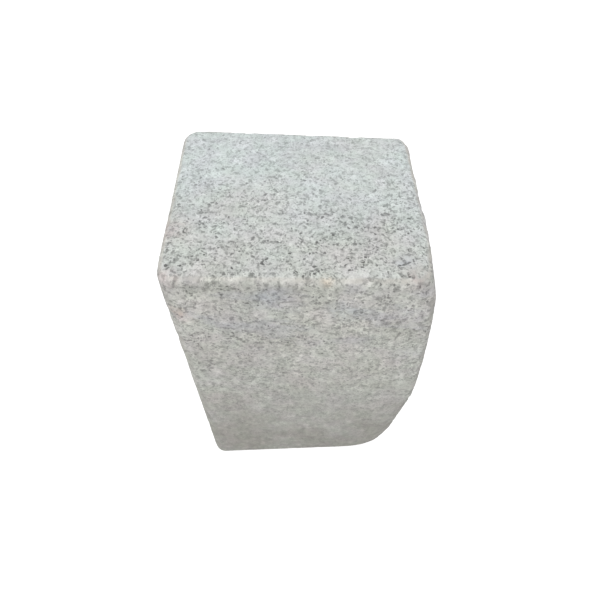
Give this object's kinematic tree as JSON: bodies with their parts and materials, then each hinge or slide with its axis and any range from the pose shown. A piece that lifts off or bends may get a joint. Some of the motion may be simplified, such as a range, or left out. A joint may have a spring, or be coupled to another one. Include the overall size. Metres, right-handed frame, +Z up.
{
  "type": "granite kerb stone",
  "caption": "Upright block of pale grey speckled granite with a flat dressed top, worn edges, a split side with a slight belly and a knocked-off foot corner, for edging a path or road.",
  "frame": {"origin": "middle of the stone's bounding box in plan, on the plane of its bed", "axes": "+Z up from the bed to the dressed top, +X towards the split side with the belly, -Y out of the front face"},
  "size_m": [0.12, 0.1, 0.2],
  "materials": {
    "granite": "bush-hammered and worn, matt, grey with dark flecks and warm stains along the edges"
  },
  "bodies": {
    "root": {"kerb_stone": "granite"}
  },
  "joints": []
}
